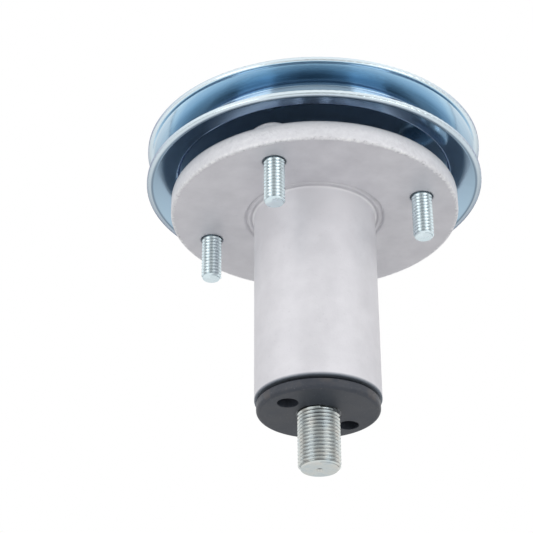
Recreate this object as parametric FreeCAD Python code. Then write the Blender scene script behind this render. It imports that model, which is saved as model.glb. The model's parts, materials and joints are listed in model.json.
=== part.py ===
import FreeCAD, Part
import math
import os

# A mower deck spindle: a cast housing bolts under its flange to the deck, and a shaft on two ball
# bearings carries a belt pulley above the deck and the blade below it.
# Millimetres. +Z points up the shaft. The origin is on the shaft's axis, on the flange's deck face.

# Housing casting
FLANGE_DIA = 113.2
FLANGE_THICK = 8.3
FLANGE_UPPER_ROUND = 1.5
FLANGE_LOWER_ROUND = 0.8
BARREL_DIA = 47.6
BARREL_LENGTH = 79.2
BARREL_END_ROUND = 0.3
ROOT_FILLET = 0.4
ROOT_GROOVE_OFFSET = 3.2
ROOT_GROOVE_WIDTH = 1.2
ROOT_GROOVE_DEPTH = 0.8
UNDERCUT_OFFSET = 1.1
UNDERCUT_WIDTH = 0.6
UNDERCUT_DEPTH = 0.4
SEAT_SHOULDER = 3.0
GATE_WIDTH = 8.4
GATE_RISE = 0.8
GATE_DEPTH = 3.5
GATE_INSET = 0.2
GATE_ANGLE = -107.0

# Mounting studs, 5/16 inch thread
STUD_DIA = 7.9375
STUD_HOLE_DIA = 9.1
STUD_CIRCLE_DIA = 88.0
STUD_COUNT = 4
STUD_FIRST_ANGLE = -109.3
STUD_REACH = 18.0
STUD_TIP_CHAMFER = 0.7
STUD_NECK_DIA = 7.0
STUD_RIB_LENGTH = 5.0
STUD_HEAD_DIA = 15.0
STUD_HEAD_HEIGHT = 3.2
STUD_HEAD_ROUND = 1.4

# Ball bearings, 17 x 40 x 12
BEARING_BORE = 17.0
BEARING_OD = 40.0
BEARING_WIDTH = 12.0
BEARING_SINK = 1.0
BEARING_EDGE_ROUND = 0.6
BALL_DIA = 6.747
BALL_COUNT = 8
BALL_CLEARANCE = 0.05
LAND_OFFSET = 2.2
CAGE_WALL = 1.6
CAGE_CLEARANCE = 0.1
SEAL_THICK = 0.9
SEAL_INSET = 0.4
SEAL_SEAT = 0.6
SEAL_LIP_GAP = 0.15

# Shaft, 5/8 inch thread at both ends
SHAFT_THREAD_DIA = 15.875
BLADE_THREAD_LENGTH = 21.9
THREAD_CHAMFER = 1.1
THREAD_RUN_IN = 0.5
THREAD_RELIEF_DIA = 14.1
THREAD_RELIEF_LENGTH = 0.6
THREAD_PROJECTION = 2.5
CENTRE_DRILL_DIA = 2.6
CENTRE_DRILL_ANGLE = 60.0
ABUTMENT_STEP = 0.55
SPACER_CLEARANCE = 0.1
FIT = 0.01

# Blade drive disc
DISC_DIA = 46.2
DISC_THICK = 4.0
DISC_GAP = 1.1
DISC_UPPER_ROUND = 0.5
DISC_LOWER_ROUND = 1.5
DISC_HOLE_DIA = 7.9
DISC_HOLE_CIRCLE_DIA = 30.5
DISC_HOLE_COUNT = 2
DISC_HOLE_FIRST_ANGLE = -136.8

# Stamped pulley and its hub
PULLEY_DIA = 133.0
PULLEY_HEIGHT = 16.5
PULLEY_SHEET = 1.5
PULLEY_BEND = 0.3
PULLEY_LIP = 2.4
PULLEY_EDGE_ROUND = 0.3
GROOVE_DEPTH = 11.0
GROOVE_FLOOR = 6.6
GROOVE_FLOOR_DRAFT = 0.5
HUB_NECK_LENGTH = 9.0
HUB_FLANGE_DIA = 44.0
HUB_FLANGE_THICK = 3.5
HUB_PILOT_DIA = 30.0
HUB_TOP_RISE = 3.0
HUB_EDGE_ROUND = 0.6

# Key, lock washer and nut at the upper end
KEY_SIZE = 4.76
KEY_LENGTH = 12.7
KEY_TOP_CLEARANCE = 0.2
WASHER_DIA = 26.2
WASHER_THICK = 3.9
WASHER_CLEARANCE = 0.25
WASHER_SPLIT = 1.4
WASHER_SPLIT_LEAN = 25.0
NUT_ACROSS_FLATS = 23.8
NUT_HEIGHT = 13.9
NUT_CHAMFER_ANGLE = 30.0

# Radii that several pieces share
BARREL_R = BARREL_DIA / 2
BALL_R = BALL_DIA / 2
PITCH_R = (BEARING_BORE + BEARING_OD) / 4
INNER_LAND_R = PITCH_R - LAND_OFFSET
OUTER_LAND_R = PITCH_R + LAND_OFFSET
ABUTMENT_R = INNER_LAND_R - ABUTMENT_STEP
JOURNAL_R = BEARING_BORE / 2 - FIT
THREAD_R = SHAFT_THREAD_DIA / 2
STUD_CIRCLE_R = STUD_CIRCLE_DIA / 2

# Heights along the shaft, from the blade end up
BARREL_END_Z = -BARREL_LENGTH
LOWER_BEARING_Z = BARREL_END_Z + BEARING_SINK + BEARING_WIDTH / 2
UPPER_BEARING_Z = FLANGE_THICK - BEARING_SINK - BEARING_WIDTH / 2
DISC_TOP_Z = BARREL_END_Z - DISC_GAP
DISC_FACE_Z = DISC_TOP_Z - DISC_THICK
BLADE_END_Z = DISC_FACE_Z - BLADE_THREAD_LENGTH
HUB_FOOT_Z = UPPER_BEARING_Z + BEARING_WIDTH / 2
HUB_SEAT_Z = HUB_FOOT_Z + HUB_NECK_LENGTH + HUB_FLANGE_THICK
PULLEY_MID_Z = HUB_SEAT_Z + PULLEY_SHEET
HUB_TOP_Z = PULLEY_MID_Z + PULLEY_SHEET + HUB_TOP_RISE
NUT_FOOT_Z = HUB_TOP_Z + WASHER_THICK
SHAFT_TOP_Z = NUT_FOOT_Z + NUT_HEIGHT + THREAD_PROJECTION
KEY_MID_Z = (HUB_FOOT_Z + HUB_TOP_Z) / 2

# A cutter that goes through a wall starts and ends this far outside it.
CUT_PAST = 1.0
# The largest share of an edge that one rounded corner may use up.
ROUND_SHARE = 0.48

ORIGIN = FreeCAD.Vector(0, 0, 0)
UP = FreeCAD.Vector(0, 0, 1)


def polar(radius, angle_deg, z=0.0):
    """The point at a radius and an angle about the shaft."""
    angle = math.radians(angle_deg)
    return FreeCAD.Vector(radius * math.cos(angle), radius * math.sin(angle), z)


def ring_angles(count, first=0.0):
    """Evenly spaced angles in degrees, one for each copy in a ring."""
    return [first + 360.0 * index / count for index in range(count)]


def corner_arc(before, corner, after, rounding):
    """The two tangent points and the middle point of a rounded corner, limited by its walls."""
    back = before - corner
    ahead = after - corner
    half_angle = back.getAngle(ahead) / 2
    longest = ROUND_SHARE * min(back.Length, ahead.Length)
    reach = min(rounding / math.tan(half_angle), longest)
    radius = reach * math.tan(half_angle)
    back.normalize()
    ahead.normalize()
    inward = back + ahead
    inward.normalize()
    middle = corner + inward * (radius / math.sin(half_angle) - radius)
    return corner + back * reach, middle, corner + ahead * reach


def section(corners):
    """A flat face from corners (radius, height) or (radius, height, rounding), in the X-Z plane."""
    points = [FreeCAD.Vector(corner[0], 0, corner[1]) for corner in corners]
    roundings = [corner[2] if len(corner) > 2 else 0.0 for corner in corners]
    starts = []
    ends = []
    arcs = []
    for index, point in enumerate(points):
        if roundings[index] > 0:
            after = points[(index + 1) % len(points)]
            first, middle, last = corner_arc(points[index - 1], point, after, roundings[index])
            arcs.append(Part.Arc(first, middle, last).toShape())
        else:
            first = point
            last = point
            arcs.append(None)
        starts.append(first)
        ends.append(last)
    edges = []
    for index, arc in enumerate(arcs):
        if arc:
            edges.append(arc)
        edges.append(Part.LineSegment(ends[index], starts[(index + 1) % len(points)]).toShape())
    return Part.Face(Part.Wire(edges))


def turned(corners):
    """A solid of revolution about the shaft's axis."""
    return section(corners).revolve(ORIGIN, UP, 360)


def ring(inner_r, outer_r, low_z, high_z, rounding=0.0):
    """A plain turned ring with a rectangular section."""
    return turned([
        (inner_r, low_z, rounding),
        (outer_r, low_z, rounding),
        (outer_r, high_z, rounding),
        (inner_r, high_z, rounding),
    ])


def upright_cylinder(radius, low_z, high_z, place=ORIGIN):
    """A cylinder parallel to the shaft."""
    return Part.makeCylinder(radius, high_z - low_z, FreeCAD.Vector(place.x, place.y, low_z))


def side_shift(spine, distance):
    """The spine moved sideways by a distance, with mitred corners."""
    normals = []
    for first, second in zip(spine, spine[1:]):
        length = math.hypot(second[0] - first[0], second[1] - first[1])
        normals.append(((first[1] - second[1]) / length, (second[0] - first[0]) / length))
    shifted = []
    for index, point in enumerate(spine):
        before = normals[max(index - 1, 0)]
        after = normals[min(index, len(normals) - 1)]
        scale = distance / (1 + before[0] * after[0] + before[1] * after[1])
        shifted.append((
            point[0] + scale * (before[0] + after[0]),
            point[1] + scale * (before[1] + after[1]),
        ))
    return shifted


def turns_left(before, corner, after):
    """Whether a path bends to its left at a corner."""
    first = (corner[0] - before[0], corner[1] - before[1])
    second = (after[0] - corner[0], after[1] - corner[1])
    return first[0] * second[1] - first[1] * second[0] > 0


def sheet_corners(spine, thickness, bend, edge_round):
    """Corners of a bent sheet of even thickness, whose middle follows the spine to a rounded rim."""
    inside = bend
    outside = bend + thickness
    left = []
    right = []
    last = len(spine) - 1
    left_points = side_shift(spine, thickness / 2)
    right_points = side_shift(spine, -thickness / 2)
    for index in range(len(spine)):
        if index == 0:
            left_round = right_round = 0.0
        elif index == last:
            left_round = right_round = edge_round
        elif turns_left(spine[index - 1], spine[index], spine[index + 1]):
            left_round, right_round = inside, outside
        else:
            left_round, right_round = outside, inside
        left.append((*left_points[index], left_round))
        right.append((*right_points[index], right_round))
    return left + right[::-1]


def ring_groove(middle_r, width, depth):
    """Corners of a V-shaped ring groove in the deck face, from its outer edge inwards."""
    return [(middle_r + width / 2, 0), (middle_r, depth), (middle_r - width / 2, 0)]


def gate_stub():
    """The low mound on the flange's upper edge where the casting's gate was broken off."""
    outer_r = FLANGE_DIA / 2 - GATE_INSET
    inner_r = outer_r - GATE_DEPTH
    top_z = FLANGE_THICK + GATE_RISE
    mound_r = (GATE_WIDTH ** 2 / 4 + GATE_RISE ** 2) / (2 * GATE_RISE)
    start = polar(inner_r - CUT_PAST, GATE_ANGLE, top_z - mound_r)
    mound = Part.makeCylinder(mound_r, GATE_DEPTH + 2 * CUT_PAST, start, polar(1.0, GATE_ANGLE))
    return mound.common(ring(inner_r, outer_r, FLANGE_THICK - FLANGE_UPPER_ROUND, top_z))


def spindle_housing():
    """The casting: flange, barrel and the two bearing seats, with the stud holes."""
    flange_r = FLANGE_DIA / 2
    seat_r = BEARING_OD / 2 + FIT
    shoulder_r = BEARING_OD / 2 - SEAT_SHOULDER
    upper_shoulder_z = UPPER_BEARING_Z - BEARING_WIDTH / 2
    lower_shoulder_z = LOWER_BEARING_Z + BEARING_WIDTH / 2
    casting = turned([
        (seat_r, FLANGE_THICK),
        (flange_r, FLANGE_THICK, FLANGE_UPPER_ROUND),
        (flange_r, 0, FLANGE_LOWER_ROUND),
        *ring_groove(BARREL_R + ROOT_GROOVE_OFFSET, ROOT_GROOVE_WIDTH, ROOT_GROOVE_DEPTH),
        *ring_groove(BARREL_R + UNDERCUT_OFFSET, UNDERCUT_WIDTH, UNDERCUT_DEPTH),
        (BARREL_R, 0, ROOT_FILLET),
        (BARREL_R, BARREL_END_Z, BARREL_END_ROUND),
        (seat_r, BARREL_END_Z),
        (seat_r, lower_shoulder_z),
        (shoulder_r, lower_shoulder_z),
        (shoulder_r, upper_shoulder_z),
        (seat_r, upper_shoulder_z),
    ])
    casting = casting.fuse(gate_stub()).removeSplitter()
    for angle in ring_angles(STUD_COUNT, STUD_FIRST_ANGLE):
        place = polar(STUD_CIRCLE_R, angle)
        hole = upright_cylinder(STUD_HOLE_DIA / 2, -CUT_PAST, FLANGE_THICK + CUT_PAST, place)
        casting = casting.cut(hole)
    return casting


def mounting_studs():
    """Studs pressed into the flange from above: head, ribbed seat, neck and a thread below the deck face."""
    rib_r = STUD_HOLE_DIA / 2 - FIT
    thread_r = STUD_DIA / 2
    neck_r = STUD_NECK_DIA / 2
    head_r = STUD_HEAD_DIA / 2
    rib_end_z = FLANGE_THICK - STUD_RIB_LENGTH
    head_top_z = FLANGE_THICK + STUD_HEAD_HEIGHT
    stud = turned([
        (0, -STUD_REACH),
        (thread_r - STUD_TIP_CHAMFER, -STUD_REACH),
        (thread_r, STUD_TIP_CHAMFER - STUD_REACH),
        (thread_r, 0),
        (neck_r, 0),
        (neck_r, rib_end_z),
        (rib_r, rib_end_z),
        (rib_r, FLANGE_THICK),
        (head_r, FLANGE_THICK),
        (head_r, head_top_z, STUD_HEAD_ROUND),
        (0, head_top_z),
    ])
    copies = []
    for angle in ring_angles(STUD_COUNT, STUD_FIRST_ANGLE):
        copy = stud.copy()
        copy.translate(polar(STUD_CIRCLE_R, angle))
        copies.append(copy)
    return Part.makeCompound(copies)


def race(mid_z):
    """The round path that both rings of a bearing give the balls, as a cutter."""
    return Part.makeTorus(PITCH_R, BALL_R + BALL_CLEARANCE, FreeCAD.Vector(0, 0, mid_z), UP)


def bearing_inner_ring(mid_z):
    """The ring on the shaft."""
    low_z = mid_z - BEARING_WIDTH / 2
    high_z = mid_z + BEARING_WIDTH / 2
    blank = turned([
        (BEARING_BORE / 2, low_z, BEARING_EDGE_ROUND),
        (INNER_LAND_R, low_z),
        (INNER_LAND_R, high_z),
        (BEARING_BORE / 2, high_z, BEARING_EDGE_ROUND),
    ])
    return blank.cut(race(mid_z))


def bearing_outer_ring(mid_z):
    """The ring in the housing, stepped at both faces for the seals."""
    low_z = mid_z - BEARING_WIDTH / 2
    high_z = mid_z + BEARING_WIDTH / 2
    seal_r = OUTER_LAND_R + SEAL_SEAT
    seal_depth = SEAL_INSET + SEAL_THICK
    blank = turned([
        (seal_r, low_z),
        (BEARING_OD / 2, low_z, BEARING_EDGE_ROUND),
        (BEARING_OD / 2, high_z, BEARING_EDGE_ROUND),
        (seal_r, high_z),
        (seal_r, high_z - seal_depth),
        (OUTER_LAND_R, high_z - seal_depth),
        (OUTER_LAND_R, low_z + seal_depth),
        (seal_r, low_z + seal_depth),
    ])
    return blank.cut(race(mid_z))


def bearing_balls(mid_z):
    """The ring of balls between the two races."""
    balls = []
    for angle in ring_angles(BALL_COUNT):
        balls.append(Part.makeSphere(BALL_R, polar(PITCH_R, angle, mid_z)))
    return Part.makeCompound(balls)


def bearing_cage(mid_z):
    """The ring that keeps the balls apart, drilled with a pocket for each."""
    seal_inner_face = BEARING_WIDTH / 2 - SEAL_INSET - SEAL_THICK
    half_height = (BALL_R + seal_inner_face) / 2
    cage = ring(PITCH_R - CAGE_WALL / 2, PITCH_R + CAGE_WALL / 2, mid_z - half_height, mid_z + half_height)
    for angle in ring_angles(BALL_COUNT):
        drill = Part.makeCylinder(
            BALL_R + CAGE_CLEARANCE,
            CAGE_WALL + 2 * CUT_PAST,
            polar(PITCH_R - CAGE_WALL / 2 - CUT_PAST, angle, mid_z),
            polar(1.0, angle),
        )
        cage = cage.cut(drill)
    return cage


def bearing_seal(mid_z, side):
    """The rubber seal at a bearing's upper (side 1) or lower (side -1) face."""
    outer_face_z = mid_z + side * (BEARING_WIDTH / 2 - SEAL_INSET)
    inner_face_z = outer_face_z - side * SEAL_THICK
    low_z = min(outer_face_z, inner_face_z)
    high_z = max(outer_face_z, inner_face_z)
    return ring(INNER_LAND_R + SEAL_LIP_GAP, OUTER_LAND_R + SEAL_SEAT - FIT, low_z, high_z)


def bearing_spacer():
    """The tube that holds the two inner rings apart."""
    low_z = LOWER_BEARING_Z + BEARING_WIDTH / 2
    high_z = UPPER_BEARING_Z - BEARING_WIDTH / 2
    return ring(JOURNAL_R + SPACER_CLEARANCE, ABUTMENT_R, low_z, high_z)


def spindle_shaft():
    """The shaft, with its collar under the lower bearing, keyway and centre-drilled ends."""
    relief_r = THREAD_RELIEF_DIA / 2
    relief_foot_z = DISC_FACE_Z - THREAD_RELIEF_LENGTH
    relief_top_z = DISC_FACE_Z + THREAD_RUN_IN
    collar_top_z = LOWER_BEARING_Z - BEARING_WIDTH / 2
    journal_top_z = HUB_TOP_Z - THREAD_RUN_IN
    shaft = turned([
        (0, BLADE_END_Z),
        (THREAD_R - THREAD_CHAMFER, BLADE_END_Z),
        (THREAD_R, BLADE_END_Z + THREAD_CHAMFER),
        (THREAD_R, relief_foot_z),
        (relief_r, relief_foot_z),
        (relief_r, relief_top_z),
        (JOURNAL_R, relief_top_z),
        (JOURNAL_R, DISC_TOP_Z),
        (ABUTMENT_R, DISC_TOP_Z),
        (ABUTMENT_R, collar_top_z),
        (JOURNAL_R, collar_top_z),
        (JOURNAL_R, journal_top_z),
        (THREAD_R, journal_top_z),
        (THREAD_R, SHAFT_TOP_Z - THREAD_CHAMFER),
        (THREAD_R - THREAD_CHAMFER, SHAFT_TOP_Z),
        (0, SHAFT_TOP_Z),
    ])
    drill_r = CENTRE_DRILL_DIA / 2
    drill_depth = drill_r / math.tan(math.radians(CENTRE_DRILL_ANGLE / 2))
    blade_end = FreeCAD.Vector(0, 0, BLADE_END_Z)
    top_end = FreeCAD.Vector(0, 0, SHAFT_TOP_Z)
    shaft = shaft.cut(Part.makeCone(drill_r, 0, drill_depth, blade_end, UP))
    shaft = shaft.cut(Part.makeCone(drill_r, 0, drill_depth, top_end, -UP))
    return shaft.cut(pulley_key())


def pulley_key():
    """The square key, half in the shaft and half in the hub."""
    corner = FreeCAD.Vector(JOURNAL_R - KEY_SIZE / 2, -KEY_SIZE / 2, KEY_MID_Z - KEY_LENGTH / 2)
    return Part.makeBox(KEY_SIZE, KEY_SIZE, KEY_LENGTH, corner)


def blade_drive_disc():
    """The plate that the blade seats on, with holes for the pins that drive it."""
    bore_r = BEARING_BORE / 2
    disc = turned([
        (bore_r, DISC_TOP_Z),
        (DISC_DIA / 2, DISC_TOP_Z, DISC_UPPER_ROUND),
        (DISC_DIA / 2, DISC_FACE_Z, DISC_LOWER_ROUND),
        (bore_r, DISC_FACE_Z),
    ])
    for angle in ring_angles(DISC_HOLE_COUNT, DISC_HOLE_FIRST_ANGLE):
        place = polar(DISC_HOLE_CIRCLE_DIA / 2, angle)
        hole = upright_cylinder(DISC_HOLE_DIA / 2, DISC_FACE_Z - CUT_PAST, DISC_TOP_Z + CUT_PAST, place)
        disc = disc.cut(hole)
    return disc


def pulley_half(side):
    """One stamped dish: web, groove floor, flank and lip. Side is 1 for the upper, -1 for the lower."""
    rim_r = PULLEY_DIA / 2
    web_mid = PULLEY_SHEET / 2
    floor_mid_r = rim_r - GROOVE_DEPTH - PULLEY_SHEET / 2
    lip_mid = (PULLEY_HEIGHT - PULLEY_SHEET) / 2
    spine = [
        (HUB_PILOT_DIA / 2 + FIT, web_mid),
        (floor_mid_r - GROOVE_FLOOR_DRAFT, web_mid),
        (floor_mid_r, web_mid + GROOVE_FLOOR / 2),
        (rim_r - PULLEY_LIP, lip_mid),
        (rim_r, lip_mid),
    ]
    placed = [(radius, PULLEY_MID_Z + side * offset) for radius, offset in spine]
    return turned(sheet_corners(placed, PULLEY_SHEET, PULLEY_BEND, PULLEY_EDGE_ROUND))


def pulley_hub():
    """The turned bush that stands on the upper bearing and carries the two dishes."""
    bore_r = BEARING_BORE / 2
    flange_foot_z = HUB_SEAT_Z - HUB_FLANGE_THICK
    hub = turned([
        (bore_r, HUB_FOOT_Z),
        (ABUTMENT_R, HUB_FOOT_Z),
        (ABUTMENT_R, flange_foot_z),
        (HUB_FLANGE_DIA / 2, flange_foot_z, HUB_EDGE_ROUND),
        (HUB_FLANGE_DIA / 2, HUB_SEAT_Z),
        (HUB_PILOT_DIA / 2, HUB_SEAT_Z),
        (HUB_PILOT_DIA / 2, HUB_TOP_Z, HUB_EDGE_ROUND),
        (bore_r, HUB_TOP_Z),
    ])
    slot_r = JOURNAL_R + KEY_SIZE / 2 + KEY_TOP_CLEARANCE
    slot_corner = FreeCAD.Vector(0, -KEY_SIZE / 2, HUB_FOOT_Z - CUT_PAST)
    slot_height = HUB_TOP_Z - HUB_FOOT_Z + 2 * CUT_PAST
    return hub.cut(Part.makeBox(slot_r, KEY_SIZE, slot_height, slot_corner))


def pulley_lock_washer():
    """The spring washer under the nut, split by a leaning saw cut."""
    washer = ring(THREAD_R + WASHER_CLEARANCE, WASHER_DIA / 2, HUB_TOP_Z, NUT_FOOT_Z)
    cut_height = 2 * WASHER_THICK
    middle_z = (HUB_TOP_Z + NUT_FOOT_Z) / 2
    corner = FreeCAD.Vector(0, -WASHER_SPLIT / 2, middle_z - cut_height / 2)
    saw = Part.makeBox(WASHER_DIA, WASHER_SPLIT, cut_height, corner)
    saw.rotate(FreeCAD.Vector(0, 0, middle_z), FreeCAD.Vector(1, 0, 0), WASHER_SPLIT_LEAN)
    return washer.cut(saw)


def pulley_nut():
    """The hexagon nut, with its corners chamfered at both faces."""
    top_z = NUT_FOOT_Z + NUT_HEIGHT
    flat_r = NUT_ACROSS_FLATS / 2
    corner_r = flat_r / math.cos(math.pi / 6)
    chamfer_rise = (corner_r - flat_r) * math.tan(math.radians(NUT_CHAMFER_ANGLE))
    corners = [polar(corner_r, angle, NUT_FOOT_Z) for angle in ring_angles(6)]
    hexagon = Part.Face(Part.makePolygon(corners + corners[:1]))
    prism = hexagon.extrude(FreeCAD.Vector(0, 0, NUT_HEIGHT))
    envelope = turned([
        (THREAD_R + FIT, NUT_FOOT_Z),
        (flat_r, NUT_FOOT_Z),
        (corner_r, NUT_FOOT_Z + chamfer_rise),
        (corner_r, top_z - chamfer_rise),
        (flat_r, top_z),
        (THREAD_R + FIT, top_z),
    ])
    return prism.common(envelope)


def bearing_nodes(name, mid_z):
    """The pieces of one ball bearing, by node name."""
    return {
        f"{name}_bearing_outer_ring": bearing_outer_ring(mid_z),
        f"{name}_bearing_inner_ring": bearing_inner_ring(mid_z),
        f"{name}_bearing_balls": bearing_balls(mid_z),
        f"{name}_bearing_cage": bearing_cage(mid_z),
        f"{name}_bearing_top_seal": bearing_seal(mid_z, 1),
        f"{name}_bearing_bottom_seal": bearing_seal(mid_z, -1),
    }


def main():
    nodes = {
        "spindle_housing": spindle_housing(),
        "mounting_studs": mounting_studs(),
        "spindle_shaft": spindle_shaft(),
        "bearing_spacer": bearing_spacer(),
        "blade_drive_disc": blade_drive_disc(),
        "pulley_upper_half": pulley_half(1),
        "pulley_lower_half": pulley_half(-1),
        "pulley_hub": pulley_hub(),
        "pulley_key": pulley_key(),
        "pulley_lock_washer": pulley_lock_washer(),
        "pulley_nut": pulley_nut(),
    }
    nodes.update(bearing_nodes("upper", UPPER_BEARING_Z))
    nodes.update(bearing_nodes("lower", LOWER_BEARING_Z))
    os.makedirs("parts", exist_ok=True)
    for name, shape in nodes.items():
        shape.exportStep(f"parts/{name}.step")
        print(name, "solids", len(shape.Solids), "valid", shape.isValid(), "volume", round(shape.Volume, 1))


main()
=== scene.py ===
# %% [markdown]
# # A mower deck spindle
# This lesson dresses a finished CAD model: a cast housing with a plain barrel, a threaded shaft, a dark
# disc that carries the blade, four studs and a stamped belt pulley with a bluish zinc plating. The CAD
# pieces arrive at their real size and place. The work here is what CAD leaves out: cut threads, metal
# finishes, soft light, and the camera that took the product picture.

# %% Load the model
import json
import math

import bmesh
import bpy
from mathutils import Matrix, Vector


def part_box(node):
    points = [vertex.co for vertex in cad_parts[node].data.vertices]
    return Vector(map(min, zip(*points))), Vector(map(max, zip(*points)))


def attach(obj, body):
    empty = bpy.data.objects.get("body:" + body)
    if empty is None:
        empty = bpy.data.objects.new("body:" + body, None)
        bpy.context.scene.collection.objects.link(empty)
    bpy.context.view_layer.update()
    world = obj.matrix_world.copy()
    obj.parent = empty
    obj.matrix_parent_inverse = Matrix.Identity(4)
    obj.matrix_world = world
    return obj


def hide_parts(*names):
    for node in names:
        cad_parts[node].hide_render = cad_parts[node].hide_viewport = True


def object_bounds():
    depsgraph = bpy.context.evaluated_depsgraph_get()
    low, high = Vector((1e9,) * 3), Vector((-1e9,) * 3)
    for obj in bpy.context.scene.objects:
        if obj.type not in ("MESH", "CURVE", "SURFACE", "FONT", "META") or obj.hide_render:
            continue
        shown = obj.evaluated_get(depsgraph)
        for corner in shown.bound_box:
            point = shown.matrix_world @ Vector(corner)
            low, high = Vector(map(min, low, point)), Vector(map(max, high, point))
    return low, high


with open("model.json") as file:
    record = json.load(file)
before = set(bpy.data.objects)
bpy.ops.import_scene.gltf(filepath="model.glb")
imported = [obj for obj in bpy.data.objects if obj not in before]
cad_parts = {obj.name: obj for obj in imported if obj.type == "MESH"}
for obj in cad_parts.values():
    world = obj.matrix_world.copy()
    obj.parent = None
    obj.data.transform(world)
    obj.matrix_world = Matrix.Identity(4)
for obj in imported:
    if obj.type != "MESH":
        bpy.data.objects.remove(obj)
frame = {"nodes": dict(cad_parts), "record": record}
cad_low, cad_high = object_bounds()
nodes = frame["nodes"]
mounts = {mount["name"]: mount for mount in frame["record"]["mounts"]}
MM = 0.001
print("CAD box in mm:", [round(value / MM, 1) for value in (*cad_low, *cad_high)])

# %% [markdown]
# ## The camera
# The picture was taken from below the pulley with a long lens. The place, the turn and the lens were
# solved once from shapes whose sizes are known: the round rims, the barrel and the square of the studs.
# A camera in Blender looks along its own -Z axis, so its matrix has the right, up and backward directions
# as columns.

# %% Place the camera
IMAGE_SIZE_PX = 533
FOCAL_PX = 1593.4
SENSOR_MM = 36.0
CLIP_START = 0.01
CLIP_END = 50.0
CAMERA_PLACE = Vector((0.0, -538.21, -327.36)) * MM
CAMERA_YAW = math.radians(-2.024)
CAMERA_PITCH = math.radians(29.624)
CAMERA_ROLL = math.radians(-0.211)


def camera_axes(yaw, pitch, roll):
    """Right, up and backward directions of a camera that is turned, tilted and rolled."""
    forward = Vector((
        math.sin(yaw) * math.cos(pitch),
        math.cos(yaw) * math.cos(pitch),
        math.sin(pitch),
    ))
    level_right = Vector((math.cos(yaw), -math.sin(yaw), 0.0))
    level_up = level_right.cross(forward)
    right = math.cos(roll) * level_right + math.sin(roll) * level_up
    up = math.cos(roll) * level_up - math.sin(roll) * level_right
    return right, up, -forward


lens = bpy.data.cameras.new("product_camera")
lens.sensor_width = SENSOR_MM
lens.lens = FOCAL_PX / IMAGE_SIZE_PX * SENSOR_MM
lens.clip_start = CLIP_START
lens.clip_end = CLIP_END
camera = bpy.data.objects.new("product_camera", lens)
bpy.context.scene.collection.objects.link(camera)
camera_turn = Matrix(camera_axes(CAMERA_YAW, CAMERA_PITCH, CAMERA_ROLL)).transposed().to_4x4()
camera.matrix_world = Matrix.Translation(CAMERA_PLACE) @ camera_turn
bpy.context.scene.camera = camera
print("lens in mm:", round(lens.lens, 2))

# %% [markdown]
# ## Small helpers for node trees
# Shaders and Geometry Nodes are both built by linking sockets. These helpers set or link a socket, do
# sums, blend colours and make soft steps, so that the trees below read almost like formulas.

# %% Node helpers


def feed(tree, socket, value):
    """Link an output to a socket, or set the socket's own value."""
    if isinstance(value, bpy.types.NodeSocket):
        tree.links.new(value, socket)
    else:
        socket.default_value = value


def add_node(tree, kind, settings=None, **inputs):
    """A new node, with its settings, and its inputs by socket name (with _ for a space)."""
    node = tree.nodes.new(kind)
    for name, value in (settings or {}).items():
        setattr(node, name, value)
    for name, value in inputs.items():
        feed(tree, node.inputs[name.replace("_", " ")], value)
    return node


def calc(tree, operation, *values):
    """The output of a math node."""
    node = tree.nodes.new("ShaderNodeMath")
    node.operation = operation
    for socket, value in zip(node.inputs, values):
        feed(tree, socket, value)
    return node.outputs[0]


def soft_step(tree, value, low, high):
    """0 below one value, 1 above another, and a smooth rise between them."""
    node = add_node(tree, "ShaderNodeMapRange", {"interpolation_type": "SMOOTHSTEP"}, Value=value)
    feed(tree, node.inputs["From Min"], low)
    feed(tree, node.inputs["From Max"], high)
    return node.outputs[0]


def blend(tree, share, first, second):
    """A colour between two others."""
    node = add_node(tree, "ShaderNodeMix", {"data_type": "RGBA"})
    feed(tree, node.inputs["Factor"], share)
    colours = [socket for socket in node.inputs if socket.type == "RGBA"]
    feed(tree, colours[0], first)
    feed(tree, colours[1], second)
    return next(socket for socket in node.outputs if socket.type == "RGBA")


def ramp(tree, factor, *stops):
    """The output of a colour ramp with stops (place, colour)."""
    node = tree.nodes.new("ShaderNodeValToRGB")
    elements = node.color_ramp.elements
    while len(elements) < len(stops):
        elements.new(0.5)
    for element, (place, colour) in zip(elements, stops):
        element.position = place
        element.color = colour
    feed(tree, node.inputs["Fac"], factor)
    return node.outputs["Color"]


def grey(value):
    """A neutral colour."""
    return (value, value, value, 1.0)


print("node helpers ready")

# %% [markdown]
# ## The studio
# The picture has a pure white background and two large soft lights, one on each side of the camera and
# above it. A third light hangs high over the part. Shiny metal shows the whole room, so the room is made
# with care. Behind the part it is white. In front it is dim near the ground, where the camera stands, and
# bright higher up, where the lights shine on a white ceiling. The camera itself sees white everywhere,
# and matte surfaces get a soft light that is stronger from the front.

# %% World
WHITE = grey(1.0)
AMBIENT_FRONT = grey(0.93)
AMBIENT_BACK = grey(0.36)
AMBIENT_FADE = (-0.9, 0.4)
ROOM_FADE = (-0.92, -0.50)
FRONT_ROOM = (
    (0.0, grey(0.50)),
    (0.32, grey(0.60)),
    (0.52, grey(0.95)),
    (0.64, WHITE),
    (0.88, grey(0.66)),
)


def mirrored_rays(tree):
    """1 for rays that come from a mirror or from glass, and the light path's outputs."""
    path = add_node(tree, "ShaderNodeLightPath").outputs
    return calc(tree, "MAXIMUM", path["Is Glossy Ray"], path["Is Transmission Ray"]), path


def either(tree, share, first, second):
    """A mix of two shaders."""
    node = add_node(tree, "ShaderNodeMixShader", Fac=share)
    feed(tree, node.inputs[1], first)
    feed(tree, node.inputs[2], second)
    return node.outputs[0]


def sky(tree, colour):
    """A world shader that shows a colour as it is."""
    return add_node(tree, "ShaderNodeBackground", Color=colour, Strength=1.0).outputs[0]


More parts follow.
